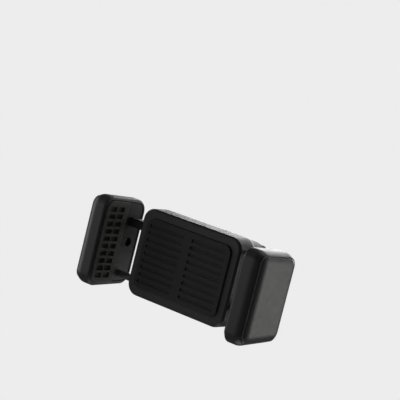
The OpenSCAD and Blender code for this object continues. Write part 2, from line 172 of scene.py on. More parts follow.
class Shader:
    """One material's node tree and the ways to grow it."""

    def __init__(self, name: str) -> None:
        """Starts an empty material with its output and principled shader.

        Args:
            name: the material's name.
        """
        self.material = bpy.data.materials.new(name)
        self.material.use_nodes = True
        self.tree = self.material.node_tree
        self.tree.nodes.clear()
        self.output = self.node("ShaderNodeOutputMaterial")
        self.surface = self.node("ShaderNodeBsdfPrincipled")
        self.link(self.surface.outputs["BSDF"], self.output.inputs["Surface"])
        self.place = self.node("ShaderNodeTexCoord").outputs["Object"]

    def link(self, source: bpy.types.NodeSocket, target: bpy.types.NodeSocket) -> None:
        """Joins two sockets."""
        self.tree.links.new(source, target)

    def feed(self, target: bpy.types.NodeSocket, value: object) -> None:
        """Sets a socket from a number, a tuple, a socket or a signal.

        Args:
            target: the input socket.
            value: what goes into it.
        """
        if isinstance(value, Signal):
            self.link(value.socket, target)
        elif isinstance(value, bpy.types.NodeSocket):
            self.link(value, target)
        else:
            target.default_value = value

    def node(
        self,
        kind: str,
        settings: dict[str, object] | None = None,
        inputs: dict[str | int, object] | None = None,
    ) -> bpy.types.Node:
        """Adds any node.

        Args:
            kind: the node's type name.
            settings: properties that are set first, such as a Math node's operation.
            inputs: values or links of its sockets, by name or number.

        Returns:
            The new node.
        """
        made = self.tree.nodes.new(kind)
        for key, value in (settings or {}).items():
            setattr(made, key, value)
        for key, value in (inputs or {}).items():
            self.feed(made.inputs[key], value)
        return made

    def noise(
        self, size: float, detail: float = 2.0, stretch: Sequence[float] = (1, 1, 1)
    ) -> Signal:
        """Cloudy noise on the piece's own coordinates.

        Args:
            size: width of its features in millimetres.
            detail: octaves.
            stretch: how much longer the features are along X, Y and Z.

        Returns:
            The noise, about 0.5 on average.
        """
        scale = tuple(1 / s for s in stretch)
        spot = self.node("ShaderNodeMapping", {}, {"Vector": self.place, "Scale": scale})
        sizes = {"Vector": spot.outputs[0], "Scale": 1 / (size * MM), "Detail": detail}
        return Signal(self, self.node("ShaderNodeTexNoise", {}, sizes).outputs["Fac"])

    def cells(self, size: float) -> Signal:
        """Distance to the nearest point of a random lattice, for pits and specks."""
        sizes = {"Vector": self.place, "Scale": 1 / (size * MM)}
        return Signal(self, self.node("ShaderNodeTexVoronoi", {}, sizes).outputs["Distance"])

    def edges(self, radius: float) -> tuple[Signal, bpy.types.NodeSocket]:
        """Finds hard edges with a bevelled normal.

        Args:
            radius: reach of the bevel in millimetres.

        Returns:
            How near an edge a point is, from 0, and the bevelled normal.
        """
        soft = self.node("ShaderNodeBevel", {"samples": 6}, {"Radius": radius * MM})
        true = self.node("ShaderNodeNewGeometry").outputs["Normal"]
        both = {0: soft.outputs[0], 1: true}
        dot = self.node("ShaderNodeVectorMath", {"operation": "DOT_PRODUCT"}, both)
        return 1.0 - Signal(self, dot.outputs["Value"]), soft.outputs[0]

    def mixed(self, share: Signal, first: object, second: object) -> bpy.types.NodeSocket:
        """Blends two colours.

        Args:
            share: how much of the second colour shows.
            first: a colour or a colour socket.
            second: a colour or a colour socket.

        Returns:
            The blended colour's socket.
        """
        made = self.node("ShaderNodeMix", {"data_type": "RGBA"}, {"Factor": share})
        ends = [s for s in made.inputs if s.type == "RGBA"]
        for socket, value in zip(ends, (first, second)):
            self.feed(socket, (*value, 1.0) if isinstance(value, tuple) else value)
        return next(s for s in made.outputs if s.type == "RGBA")

    def finished(self, values: dict[str, object]) -> bpy.types.Material:
        """Feeds the principled shader.

        Args:
            values: its inputs by name.

        Returns:
            The finished material.
        """
        for name, value in values.items():
            self.feed(self.surface.inputs[name], value)
        return self.material


@dataclass(frozen=True)
class Finish:
    """One real finish: colour, wear, sheen and relief, all in real sizes.

    Lengths are in millimetres. worn is the colour of rubbed edges, and lint the colour of
    specks and scratches. cloud and patch are the widths of the broad and the small mottling.
    """

    slot: str
    texture: Texture
    colour: Colour
    worn: Colour
    lint: Colour
    roughness: float
    spread: float = 0.1
    grain: float = 0.28
    relief: float = 0.02
    mottle: float = 0.12
    wear: float = 0.6
    edge: float = 0.3
    lint_share: float = 0.15
    metallic: float = 0.0
    specular: float = 0.5
    stretch: tuple[float, float, float] = (1.0, 1.0, 1.0)
    cloud: float = 9.0
    patch: float = 2.3
    speck: float = 0.9
    scratch: float = 0.22
    scratch_stretch: tuple[float, float, float] = (1.0, 22.0, 5.0)
    scratch_gaps: float = 6.0
    wear_gain: float = 5.0
    bump: float = 0.6

    def build(self) -> bpy.types.Material:
        """Makes the material.

        Returns:
            A material whose colour, roughness and normal vary over the surface.
        """
        shader = Shader(self.slot)
        grain = self._grain(shader)
        cloud = shader.noise(self.cloud, 3.0)
        patch = shader.noise(self.patch, 4.0)
        near, soft_normal = shader.edges(self.edge)
        rubbed = (near * self.wear_gain * (patch + 0.35)).clipped() * self.wear
        scratch = shader.noise(self.scratch, 2.0, self.scratch_stretch).stepped(0.66, 0.74)
        scratch = scratch * shader.noise(self.scratch_gaps, 2.0).stepped(0.5, 0.62)
        speck = (1.0 - shader.cells(self.speck)).stepped(0.93, 0.99) * patch.stepped(0.42, 0.6)

        tone = ((cloud - 0.5) * 2.0 * self.mottle + (grain - 0.5) * self.mottle + 0.5).clipped()
        dark = tuple(c * (1 - self.mottle) for c in self.colour)
        light = tuple(min(1.0, c * (1 + self.mottle)) for c in self.colour)
        base = shader.mixed(tone, dark, light)
        base = shader.mixed(rubbed, base, self.worn)
        dusty = (speck * self.lint_share + scratch * self.lint_share * 0.5).clipped()
        base = shader.mixed(dusty, base, self.lint)

        rough = (patch - 0.5) * self.spread * 2.0 + (cloud - 0.5) * self.spread + self.roughness
        rough = (rough - rubbed * 0.12 + scratch * 0.08 + speck * 0.1).clipped()
        height = grain + patch * 0.3 - scratch * 0.25
        bumps = {"Strength": self.bump, "Distance": self.relief * MM,
                 "Height": height, "Normal": soft_normal}
        relief = shader.node("ShaderNodeBump", {}, bumps)
        return shader.finished({
            "Base Color": base,
            "Roughness": rough,
            "Metallic": self.metallic,
            "Specular IOR Level": self.specular,
            "Normal": relief.outputs["Normal"],
        })

    def _grain(self, shader: Shader) -> Signal:
        """The finish's fine texture.

        Args:
            shader: the shader it grows in.

        Returns:
            A signal from about 0 to 1.
        """
        if self.texture is Texture.BRUSHED:
            return shader.noise(self.grain, 2.0, self.stretch)
        if self.texture is Texture.COATED:
            return shader.noise(self.grain, 1.0) * 0.7 + shader.cells(self.grain * 1.6) * 0.3
        if self.texture is Texture.RUBBER:
            return shader.noise(self.grain, 3.0) * 0.6 + shader.noise(self.grain * 0.4) * 0.4
        fine = shader.noise(self.grain, 2.0)
        return (fine * 0.65 + shader.cells(self.grain * 1.3) * 0.35).clipped()


def all_finishes() -> dict[str, Finish]:
    """Every finish of the holder, by its material slot.

    Returns:
        The finishes, whose slot names are the record's.
    """
    lint = (0.19, 0.185, 0.17)
    made = (
        Finish(
            "jaw_plastic", Texture.MOULDED, (0.048, 0.049, 0.051), (0.12, 0.12, 0.12), lint,
            roughness=0.42, spread=0.07, grain=0.26, relief=0.016,
        ),
        Finish(
            "moulded_plastic", Texture.MOULDED, (0.04, 0.041, 0.043), (0.11, 0.11, 0.11), lint,
            roughness=0.5, spread=0.08, grain=0.3, relief=0.012,
        ),
        Finish(
            "frame_plastic", Texture.MOULDED, (0.026, 0.026, 0.028), (0.08, 0.08, 0.08), lint,
            roughness=0.55, spread=0.08, grain=0.34, relief=0.02,
        ),
        Finish(
            "nut_plastic", Texture.MOULDED, (0.034, 0.035, 0.037), (0.1, 0.1, 0.1), lint,
            roughness=0.44, spread=0.09, grain=0.3, relief=0.02, wear=0.8,
        ),
        # Pad rubber: its own warm grey-black, made lighter than that as painted light, standing in
        # for the light a held phone would reflect onto the pad.
        Finish(
            "grip_rubber", Texture.RUBBER, (0.12, 0.12, 0.105), (0.26, 0.258, 0.235), lint,
            roughness=0.74, spread=0.1, grain=0.18, relief=0.02, lint_share=0.3, specular=0.35,
        ),
        Finish(
            "black_rubber", Texture.RUBBER, (0.05, 0.05, 0.051), (0.1, 0.1, 0.098), lint,
            roughness=0.72, spread=0.1, grain=0.2, relief=0.025, lint_share=0.3, specular=0.35,
        ),
        Finish(
            "nylon", Texture.MOULDED, (0.62, 0.6, 0.53), (0.74, 0.73, 0.68), (0.3, 0.29, 0.26),
            roughness=0.48, spread=0.08, grain=0.4, relief=0.015, mottle=0.05, wear=0.5,
        ),
        Finish(
            "arm_plastic", Texture.MOULDED, (0.042, 0.042, 0.044), (0.1, 0.1, 0.1), lint,
            roughness=0.46, spread=0.08, grain=0.32, relief=0.016,
        ),
        Finish(
            "stud_metal", Texture.COATED, (0.05, 0.05, 0.054), (0.42, 0.42, 0.43), lint,
            roughness=0.3, spread=0.08, grain=0.5, relief=0.015, wear=0.5, specular=0.6,
        ),
        Finish(
            "rod_steel", Texture.BRUSHED, (0.56, 0.57, 0.59), (0.75, 0.75, 0.76),
            (0.25, 0.24, 0.22), roughness=0.32, spread=0.06, grain=0.3, relief=0.0015, metallic=1.0,
            stretch=(1.0, 8.0, 8.0), mottle=0.06,
        ),
        Finish(
            "screw_steel", Texture.BRUSHED, (0.42, 0.42, 0.43), (0.66, 0.66, 0.66),
            (0.16, 0.15, 0.13), roughness=0.36, spread=0.12, grain=0.08, relief=0.008, metallic=1.0,
            stretch=(6.0, 1.0, 6.0), mottle=0.12,
        ),
    )
    return {finish.slot: finish for finish in made}


# --- Shaping -----------------------------------------------------------------------------


def arc(
    radius: float, centre: tuple[float, float], start: float, end: float, steps: int
) -> list[tuple[float, float]]:
    """Points of a profile along an arc.

    Args:
        radius: the arc's radius.
        centre: its centre as (radius, y).
        start: first angle in radians, from +Y outwards.
        end: last angle.
        steps: how many parts it is divided into.

    Returns:
        steps + 1 points as (radius, y).
    """
    angles = [start + (end - start) * i / steps for i in range(steps + 1)]
    return [(centre[0] + radius * math.sin(a), centre[1] + radius * math.cos(a)) for a in angles]


def centred(count: int, pitch: float) -> list[float]:
    """Evenly spaced places on both sides of zero."""
    return [(i - (count - 1) / 2) * pitch for i in range(count)]


def among(place: float, places: Sequence[float]) -> bool:
    """Whether a place is one of several, to within a small error."""
    return any(abs(place - other) < TOUCH for other in places)


def in_plane(edge: BMEdge, axis: Axis, level: float) -> bool:
    """Whether an edge lies in a plane across an axis."""
    return all(abs(vert.co[axis] - level) < TOUCH for vert in edge.verts)


def spans(edge: BMEdge, axis: Axis, least: float) -> bool:
    """Whether an edge covers more than a least length along an axis."""
    return abs(edge.verts[0].co[axis] - edge.verts[1].co[axis]) > least


def verts_of(parts: Iterable[BMFace | BMEdge]) -> list[BMVert]:
    """The vertices of some faces or edges, each once."""
    return list({vert for part in parts for vert in part.verts})


class Blank:
    """A bmesh being shaped in millimetres with bmesh operators."""

    def __init__(self) -> None:
        """Starts with nothing."""
        self.bm = bmesh.new()

    # Starting shapes

    def block(self, low: Sequence[float], high: Sequence[float]) -> None:
        """Adds a box.

        Args:
            low: its lowest corner.
            high: its highest corner.
        """
        a, b = Vector(low), Vector(high)
        size = Matrix.Diagonal((*(b - a), 1.0))
        bmesh.ops.create_cube(self.bm, size=1.0, matrix=Matrix.Translation((a + b) / 2) @ size)

    def turned(
        self, profile: Sequence[tuple[float, float]], steps: int, closed: bool = False
    ) -> None:
        """Spins a profile about the Y axis.

        Args:
            profile: points as (radius, y), in order.
            steps: segments of the full turn.
            closed: whether the last point joins the first, for a ring.
        """
        verts = [self.bm.verts.new((r, y, 0.0)) for r, y in profile]
        pairs = list(zip(verts, verts[1:])) + ([(verts[-1], verts[0])] if closed else [])
        edges = [self.bm.edges.new(pair) for pair in pairs]
        bmesh.ops.spin(
            self.bm, geom=verts + edges, cent=(0, 0, 0), axis=(0, 1, 0), dvec=(0, 0, 0),
            angle=2 * math.pi, steps=steps, use_merge=True, use_duplicate=False,
        )
        self.tidy()

    # Choosing

    def edges_where(self, test: Callable[[BMEdge], bool]) -> list[BMEdge]:
        """Edges that pass a test."""
        return [edge for edge in self.bm.edges if test(edge)]

    def faces_where(self, test: Callable[[BMFace], bool]) -> list[BMFace]:
        """Faces that pass a test."""
        return [face for face in self.bm.faces if test(face)]

    def hard_edges(self, angle: float = 30.0) -> list[BMEdge]:
        """Edges whose faces meet at more than an angle in degrees."""
        limit = math.radians(angle)
        return self.edges_where(lambda e: len(e.link_faces) == 2 and e.calc_face_angle(0.0) > limit)

    # Working

    def tidy(self, distance: float = 0.0005) -> None:
        """Merges doubles and points the faces outwards."""
        bmesh.ops.remove_doubles(self.bm, verts=self.bm.verts[:], dist=distance)
        bmesh.ops.recalc_face_normals(self.bm, faces=self.bm.faces[:])

    def bevel(self, edges: Iterable[BMEdge], width: float, segments: int) -> None:
        """Rounds edges.

        Args:
            edges: the edges.
            width: how far the rounding reaches on each face.
            segments: facets across it.
        """
        bmesh.ops.bevel(
            self.bm, geom=list(edges), offset=width, offset_type="OFFSET", segments=segments,
            profile=0.5, affect="EDGES", clamp_overlap=True, material=-1,
        )

    def slice(self, axis: Axis, places: Iterable[float]) -> None:
        """Cuts new edges round the shape on planes across an axis.

        Args:
            axis: the axis.
            places: where the planes lie.
        """
        normal = [0.0, 0.0, 0.0]
        normal[axis] = 1.0
        for place in places:
            point = [0.0, 0.0, 0.0]
            point[axis] = place
            geom = self.bm.verts[:] + self.bm.edges[:] + self.bm.faces[:]
            bmesh.ops.bisect_plane(self.bm, geom=geom, dist=1e-5, plane_co=point, plane_no=normal)

    def press(self, faces: Sequence[BMFace], step: Sequence[float], together: bool) -> list[BMFace]:
        """Extrudes faces and moves them.

        Args:
            faces: the faces.
            step: the move.
            together: True for one region, False for each face on its own.

        Returns:
            The moved faces.
        """
        if together:
            made = bmesh.ops.extrude_face_region(self.bm, geom=list(faces))["geom"]
            moved = [g for g in made if isinstance(g, BMFace)]
            bmesh.ops.delete(self.bm, geom=[f for f in faces if f.is_valid], context="FACES_ONLY")
        else:
            moved = bmesh.ops.extrude_discrete_faces(self.bm, faces=list(faces))["faces"]
        bmesh.ops.translate(self.bm, vec=step, verts=verts_of(moved))
        return moved

    def sink(
        self, cells: Sequence[BMFace], axis: Axis, depth: float,
        corner: tuple[float, int], rim: float,
    ) -> None:
        """Sinks pockets into a flat face and rounds their corners and rims.

        Args:
            cells: the faces that become the pockets' floors.
            axis: the axis across the flat face.
            depth: how far the floors move along it, with its sign.
            corner: width and segments of the upright corners' rounding.
            rim: width of the rims' rounding.
        """
        level = cells[0].calc_center_median()[axis]
        step = [0.0, 0.0, 0.0]
        step[axis] = depth
        floors = self.press(cells, step, together=False)
        uprights = {
            e for v in verts_of(floors) for e in v.link_edges if spans(e, axis, abs(depth) * 0.8)
        }
        self.bevel(uprights, *corner)
        self.bevel([e for e in self.hard_edges(40) if in_plane(e, axis, level)], rim, 2)

    def inset(self, faces: Sequence[BMFace], width: float) -> None:
        """Insets a region of faces.

        Args:
            faces: the faces, which become the inner ones.
            width: how far in.
        """
        bmesh.ops.inset_region(
            self.bm, faces=list(faces), thickness=width, use_even_offset=True, use_boundary=True
        )

    def turn(self, matrix: Matrix) -> None:
        """Moves the whole shape by a matrix."""
        bmesh.ops.transform(self.bm, matrix=matrix, verts=self.bm.verts[:])

    def join(self, other: "Blank") -> None:
        """Takes another shape's mesh into this one.

        Args:
            other: the other shape, which stays as it is.
        """
        mesh = bpy.data.meshes.new("joined")
        other.bm.to_mesh(mesh)
        self.bm.from_mesh(mesh)
        bpy.data.meshes.remove(mesh)

    @classmethod
    def copied(cls, node: str, flat: bool = True) -> "Blank":
        """A merged, cleaned copy of a frame node's mesh, in millimetres.

        Args:
            node: the node's name.
            flat: whether flat areas are joined into single faces, which a shape with
                faceted roundings shades better without.

        Returns:
            The copy.
        """
        blank = cls()
        blank.bm.from_mesh(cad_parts[node].data)
        bmesh.ops.scale(blank.bm, vec=(1 / MM,) * 3, verts=blank.bm.verts[:])
        blank.tidy(0.002)
        if flat:
            bmesh.ops.dissolve_limit(
                blank.bm, angle_limit=math.radians(0.6), use_dissolve_boundaries=False,
                verts=blank.bm.verts[:], edges=blank.bm.edges[:],
            )
        return blank


@dataclass
class Workshop:
    """Turns shaped blanks into placed pieces and keeps the materials."""

    materials: dict[str, bpy.types.Material] = field(default_factory=dict)

    def __post_init__(self) -> None:
        """Builds every finish once."""
        for slot, finish in all_finishes().items():
            self.materials[slot] = finish.build()

    def place(
        self,
        blank: Blank,
        name: str,
        body: str,
        slot: str,
        nodes: Sequence[str],
        crease: float = 32.0,
        weighted: bool = True,
    ) -> bpy.types.Object:
        """Makes a piece of a blank and joins it to the frame.

        Args:
            blank: the shaped mesh, in millimetres.
            name: the piece's name.
            body: the frame body it moves with, or nothing for a piece that is attached to none.
            slot: its material slot.
            nodes: the frame nodes it stands for.
            crease: angle in degrees above which an edge stays sharp.
            weighted: whether large faces keep their own normals.

        Returns:
            The piece's object.
        """
        bmesh.ops.scale(blank.bm, vec=(MM, MM, MM), verts=blank.bm.verts[:])
        mesh = bpy.data.meshes.new(name)
        blank.bm.to_mesh(mesh)
        blank.bm.free()
        mesh.shade_smooth()
        mesh.set_sharp_from_angle(angle=math.radians(crease))
        mesh.materials.append(self.materials[slot])
        piece = bpy.data.objects.new(name, mesh)
        bpy.context.scene.collection.objects.link(piece)
        if weighted:
            normals = piece.modifiers.new("even_normals", "WEIGHTED_NORMAL")
            normals.keep_sharp = True
        if body:
            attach(piece, body)
        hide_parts(*nodes)
        log.info("%s: %d faces on %s", name, len(mesh.polygons), body)
        return piece

    def dress(self, node: str, slot: str) -> None:
        """Gives a frame node that stays as it is its finish.

        Args:
            node: the node's name.
            slot: the material slot.
        """
        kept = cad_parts[node]
        if not kept.material_slots:
            kept.data.materials.append(None)
        for held in kept.material_slots:
            held.material = self.materials[slot]
        log.info("%s: dressed in %s", node, slot)


def corners_of(node: str) -> tuple[Vector, Vector]:
    """Lowest and highest corner of a frame node, in millimetres."""
    low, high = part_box(node)
    return low / MM, high / MM


# --- Fasteners ---------------------------------------------------------------------------


@dataclass
class CrossScrew:
    """A pan-head screw with a cross recess, drawn along Y with its head's face at y = 0."""

    head: float = 1.7
    thickness: float = 1.1
    shank: float = 0.9
    length: float = 4.0
    dome: float = 0.35
    arm: float = 0.82
    slot: float = 0.24
    depth: float = 0.62
    floor_share: float = 0.8
    broken: float = 0.1
    sides: int = 32

    def shape(self) -> Blank:
        """Shapes one screw that points to -Y.

        Returns:
            The blank.
        """
        blank = Blank()
        rim = self.head - self.dome
        under = -self.thickness
        blank.turned(
            [
                (rim, 0.0),
                (self.head - 0.12, -0.14),
                (self.head, -self.dome),
                (self.head, under + self.broken),
                (self.head - self.broken, under),
                (self.shank, under),
                (self.shank, under - self.length + self.shank * 0.5),
                (self.shank * 0.5, under - self.length),
                (0.0, under - self.length),
            ],
            self.sides,
        )
        edge = [e for e in blank.bm.edges if e.is_boundary]
        grid = bmesh.ops.create_grid(blank.bm, x_segments=3, y_segments=3, size=1.0)["verts"]
        for vert in grid:
            for axis in (Axis.X, Axis.Y):
                place = vert.co[axis]
                vert.co[axis] = math.copysign(self.arm if abs(place) > 0.5 else self.slot, place)
        bmesh.ops.rotate(
            blank.bm, verts=grid, cent=(0, 0, 0), matrix=Matrix.Rotation(-math.pi / 2, 3, "X")
        )
        cells = list({f for v in grid for f in v.link_faces})
        centres = {f: f.calc_center_median() for f in cells}
        corners = [f for f, spot in centres.items() if min(abs(spot.x), abs(spot.z)) > self.slot]
        bmesh.ops.delete(blank.bm, geom=corners, context="FACES")
        cross = [f for f in cells if f.is_valid]
        ring = list({e for f in cross for e in f.edges if e.is_boundary})
        bmesh.ops.bridge_loops(blank.bm, edges=edge + ring)
        floor = blank.press(cross, (0, -self.depth, 0), together=True)
        smaller = (self.floor_share, 1.0, self.floor_share)
        bmesh.ops.scale(blank.bm, vec=smaller, verts=verts_of(floor))
        blank.tidy()
        return blank

    def set_of(self, spots: Sequence[Matrix]) -> Blank:
        """Several of the screw.

        Args:
            spots: where each one's head goes.

        Returns:
            One blank with all of them.
        """
        whole = Blank()
        for spot in spots:
            one = self.shape()
            one.turn(spot)
            whole.join(one)
            one.bm.free()
        return whole


# --- Jaws --------------------------------------------------------------------------------


@dataclass
class Jaw:
    """One spring jaw: cup, frame, waffle pad, toothed arm, guide rod and screws."""

    side: Side
    shop: Workshop
    edge_r: float = 5.0
    wall: float = 1.3
    rim_r: float = 1.0
    back_half: float = 17.95
    border: float = 1.3
    pitch: float = 3.05
    pocket_high: float = 2.1
    pocket_long: float = 3.9
    land: float = 0.85
    pocket_depth: float = 0.9
    columns: int = 2
    rows: int = 10
    pocket_corner: tuple[float, int] = (0.35, 3)
    pocket_rim: float = 0.15
    inner_r: float = 0.12

    def __post_init__(self) -> None:
        """Reads the left jaw's planes from the frame, for both sides."""
        self.low, self.high = corners_of("left_jaw_shell")
        self.body = self.side.node("jaw")

    def build(self) -> None:
        """Builds every piece of this jaw."""
        self._shell()
        self._pad()
        self._frame()
        self._arm()
        self._screws()
        self.shop.dress(self.side.node("guide_rod"), "rod_steel")
        self.shop.dress(self.side.node("rod_clip"), "screw_steel")

    def _taper(self, blank: Blank, half: float) -> None:
        """Gives a block the jaw's slope in Z, a little lower at the back.

        Args:
            blank: the block.
            half: its half height at the centres of the jaw's front corners.
        """
        front, back = self.low.y + self.edge_r, self.high.y - self.edge_r
        slope = (self.back_half - self.high.z) / (back - front)
        for vert in blank.bm.verts:
            vert.co.z = math.copysign(half + slope * (vert.co.y - front), vert.co.z)

    def _shell(self) -> None:
        """The thick cup with round outer edges and a round rim."""
        blank = Blank()
        blank.block(self.low, self.high)
        self._taper(blank, self.high.z)
        rim = self.high.x
        blank.bevel(blank.edges_where(lambda e: not in_plane(e, Axis.X, rim)), self.edge_r, 14)
        blank.bevel(blank.edges_where(lambda e: in_plane(e, Axis.X, rim)), self.rim_r, 6)
        face = blank.faces_where(
            lambda f: f.normal.x > 0.99 and f.calc_center_median().x > rim - TOUCH
        )
        blank.inset(face, self.wall - self.rim_r)
        blank.press(face, (self.wall + self.low.x - rim, 0, 0), together=True)
        inner = blank.edges_where(
            lambda e: in_plane(e, Axis.X, rim) and e.calc_face_angle(0.0) > 1.0
        )
        blank.bevel(inner, self.inner_r, 2)
        self._place_left(blank, "jaw_cup", "jaw_plastic", "jaw_shell")

    def _pad(self) -> None:
        """The rubber pad with its flat border and rows of pockets."""
        low, high = corners_of("left_grip_pad")
        blank = Blank()
        blank.block(low, high)
        self._taper(blank, high.z)
        front = blank.edges_where(
            lambda e: in_plane(e, Axis.Y, low.y) and spans(e, Axis.X, 0.5)
        )
        blank.bevel(front, self.edge_r - (low.y - self.low.y), 8)
        first = low.y + self.border + self.pocket_long / 2
        step = self.pocket_long + self.land
        columns = [first + i * step for i in range(self.columns)]
        rows = centred(self.rows, self.pitch)
        blank.slice(Axis.Y, [y + e * self.pocket_long / 2 for y in columns for e in (-1, 1)])
        blank.slice(Axis.Z, [z + e * self.pocket_high / 2 for z in rows for e in (-1, 1)])
        cells = blank.faces_where(
            lambda f: f.normal.x > 0.9
            and among(f.calc_center_median().y, columns)
            and among(f.calc_center_median().z, rows)
        )
        blank.sink(cells, Axis.X, -self.pocket_depth, self.pocket_corner, self.pocket_rim)
        self._place_left(blank, "waffle_pad", "grip_rubber", "grip_pad")

    def _place_left(self, blank: Blank, name: str, slot: str, part: str) -> None:
        """Turns a left-hand shape to this side and places it.

        Args:
            blank: the shape.
            name: the piece's name without its side.
            slot: its material slot.
            part: its node's name without its side.
        """
        blank.turn(self.side.turn)
        self.shop.place(blank, self.side.node(name), self.body, slot, [self.side.node(part)])

    def _frame(self) -> None:
        """The plate that closes the cup, with its raised step and rod boss."""
        self._refined("jaw_frame", "inner_frame", "frame_plastic", 0.15)

    def _arm(self) -> None:
        """The toothed arm."""
        self._refined("rack_arm", "toothed_arm", "arm_plastic", 0.12)

    def _refined(self, part: str, name: str, slot: str, width: float) -> None:
        """A copy of a frame node with broken edges.

        Args:
            part: the node's name without its side.
            name: the piece's name without its side.
            slot: its material slot.
            width: width of the broken edges.
        """
        node = self.side.node(part)
        blank = Blank.copied(node)
        blank.bevel(blank.hard_edges(), width, 2)
        self.shop.place(blank, self.side.node(name), self.body, slot, [node])

    def _screws(self) -> None:
        """The two screws that hold the cup to the frame."""
        low, high = corners_of("left_jaw_screws")
        radius = CrossScrew.head
        to_x = Matrix.Rotation(-math.pi / 2, 4, "Z")
        spots = [
            Matrix.Translation((high.x, y, 0.0)) @ to_x for y in (low.y + radius, high.y - radius)
        ]
        screw = CrossScrew(length=high.x - low.x - CrossScrew.thickness)
        self._place_left(screw.set_of(spots), "cup_screws", "screw_steel", "jaw_screws")


@dataclass
class JawSpring:
    """The compression spring round one guide rod."""

    side: Side
    shop: Workshop
    coil_r: float = 1.95
    wire_r: float = 0.28
    turns: int = 11
    steps: int = 28
    wire_sides: int = 8

    def build(self) -> None:
        """Winds the spring and places it, attached to no body."""
        low, high = corners_of("left_spring")
        middle = (low + high) / 2
        blank = Blank()
        section = bmesh.ops.create_circle(
            blank.bm, cap_ends=False, radius=self.wire_r, segments=self.wire_sides,
            matrix=Matrix.Translation((0, self.coil_r, 0)),
        )["verts"]
        edges = list({e for v in section for e in v.link_edges})
        rise = (high.x - low.x - 2 * self.wire_r) / (self.turns * self.steps)
        bmesh.ops.spin(
            blank.bm, geom=section + edges, cent=(0, 0, 0), axis=(1, 0, 0), dvec=(rise, 0, 0),
            angle=2 * math.pi * self.turns, steps=self.turns * self.steps, use_merge=False,
        )
        bmesh.ops.holes_fill(blank.bm, edges=[e for e in blank.bm.edges if e.is_boundary])
        bmesh.ops.recalc_face_normals(blank.bm, faces=blank.bm.faces[:])
        blank.turn(Matrix.Translation((low.x + self.wire_r, middle.y, middle.z)))
        blank.turn(self.side.turn)
        piece = self.shop.place(
            blank, self.side.node("coil_spring"), "", "rod_steel", [self.side.node("spring")],
            weighted=False,
        )
        start = self.side.turn @ Vector((low.x, middle.y, middle.z))
        end = self.side.turn @ Vector((high.x, middle.y, middle.z))
        self.side.node("jaw")
        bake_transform(piece)


# --- Cradle ------------------------------------------------------------------------------


@dataclass
class Cradle:
    """The housing between the jaws: tub, lid, ribbed mat, screws and pinion."""

    shop: Workshop
    mat_corner: float = 3.4
    mat_border: float = 1.6
    mat_spine: float = 4.0
    groove_pitch: float = 2.85
    groove_count: int = 9
    groove: float = 1.2
    groove_depth: float = 0.6
    groove_corner: tuple[float, int] = (0.5, 4)
    groove_rim: float = 0.18

    def build(self) -> None:
        """Builds every piece of the cradle."""
        self._tub()
        self._lid()
        self._mat()
        self._screws()
        self._pinion()
        self.shop.dress("pinion_screw", "screw_steel")

    def _tub(self) -> None:
        """The rear housing with its socket boss."""
        blank = Blank.copied("rear_housing", flat=False)
        self.shop.place(blank, "rear_tub", "cradle", "moulded_plastic", ["rear_housing"])

    def _lid(self) -> None:
        """The front cover that frames the mat."""
        blank = Blank.copied("front_cover")
        self.shop.place(blank, "front_lid", "cradle", "moulded_plastic", ["front_cover"])

    def _mat(self) -> None:
        """The rubber mat with two columns of grooves."""
        low, high = corners_of("front_mat")
        blank = Blank()
        blank.block(low, high)
        blank.bevel(blank.edges_where(lambda e: spans(e, Axis.Y, 0.5)), self.mat_corner, 10)
        outer = (high.x - low.x) / 2 - self.mat_border
        inner = self.mat_spine / 2
        columns = [side * (outer + inner) / 2 for side in (-1, 1)]
        rows = centred(self.groove_count, self.groove_pitch)
        blank.slice(Axis.X, [side * edge for side in (-1, 1) for edge in (inner, outer)])
        blank.slice(Axis.Z, [z + e * self.groove / 2 for z in rows for e in (-1, 1)])
        cells = blank.faces_where(
            lambda f: f.normal.y < -0.9
            and among(f.calc_center_median().x, columns)
            and among(f.calc_center_median().z, rows)
        )
        blank.sink(cells, Axis.Y, self.groove_depth, self.groove_corner, self.groove_rim)
        self.shop.place(blank, "ribbed_mat", "cradle", "black_rubber", ["front_mat"])

    def _screws(self) -> None:
        """The two screws that hold tub and lid together."""
        low, high = corners_of("cover_screws")
        reach = high.x - CrossScrew.head
        spots = [Matrix.Translation((side * reach, high.y, 0.0)) for side in (-1, 1)]
        screw = CrossScrew(length=high.y - low.y - CrossScrew.thickness)
        self.shop.place(
            screw.set_of(spots), "tub_screws", "cradle", "screw_steel", ["cover_screws"]
        )

    def _pinion(self) -> None:
        """The nylon gear between the racks."""
        blank = Blank.copied("pinion_gear")
        blank.bevel(blank.hard_edges(50), 0.1, 1)
        self.shop.place(blank, "pinion", "pinion", "nylon", ["pinion_gear"])


# --- Ball joint --------------------------------------------------------------------------


